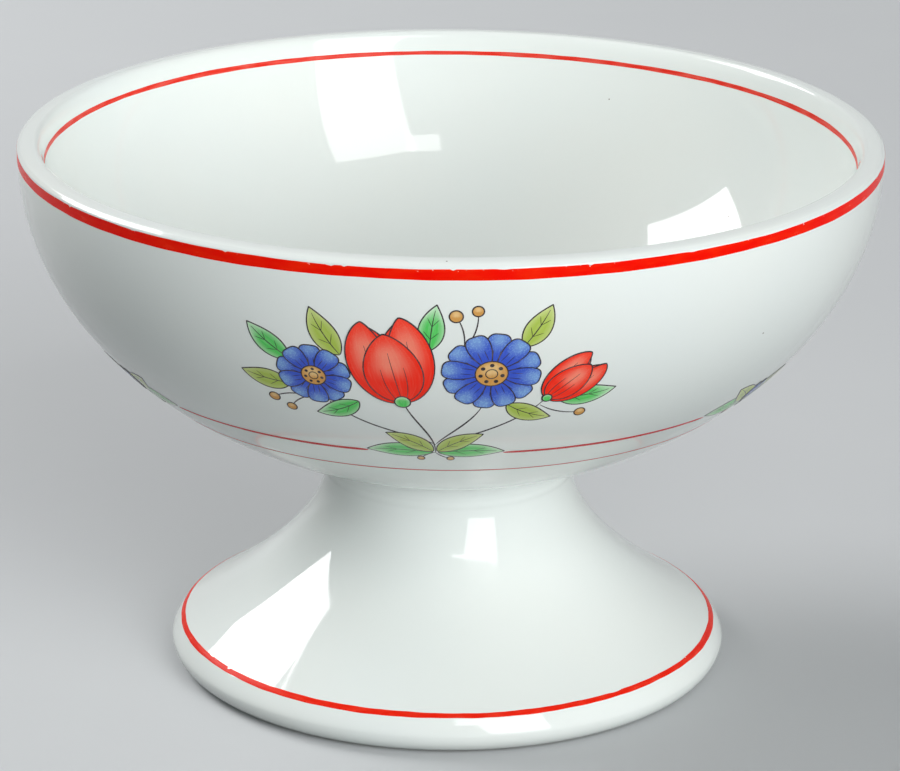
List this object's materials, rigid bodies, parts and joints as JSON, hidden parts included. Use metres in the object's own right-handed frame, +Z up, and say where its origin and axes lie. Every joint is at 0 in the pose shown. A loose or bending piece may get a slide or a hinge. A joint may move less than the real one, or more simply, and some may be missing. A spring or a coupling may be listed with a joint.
{
  "type": "footed sherbet bowl",
  "caption": "Footed sherbet bowl in thick glazed ceramic: an open round bowl with a rolled lip on a hollow flared foot, with fired enamel lines and flower prints.",
  "frame": {"origin": "middle of the standing ring, on the table", "axes": "+Z up along the axis of the bowl and the foot; the part is round, so X and Y are free, and -Y faces the picture's camera"},
  "size_m": [0.1002, 0.1002, 0.064],
  "materials": {
    "white_glaze": "glossy clear glaze over white clay",
    "fired_enamel": "glossy red-orange fired enamel",
    "worn_enamel": "thin red fired enamel, a little worn"
  },
  "bodies": {
    "root": {"bowl": "white_glaze", "pedestal_foot": "white_glaze", "slip_joint": "white_glaze", "rim_band": "fired_enamel", "inner_rim_line": "worn_enamel", "body_line": "worn_enamel", "body_hairline": "worn_enamel", "foot_line": "fired_enamel"}
  },
  "joints": []
}
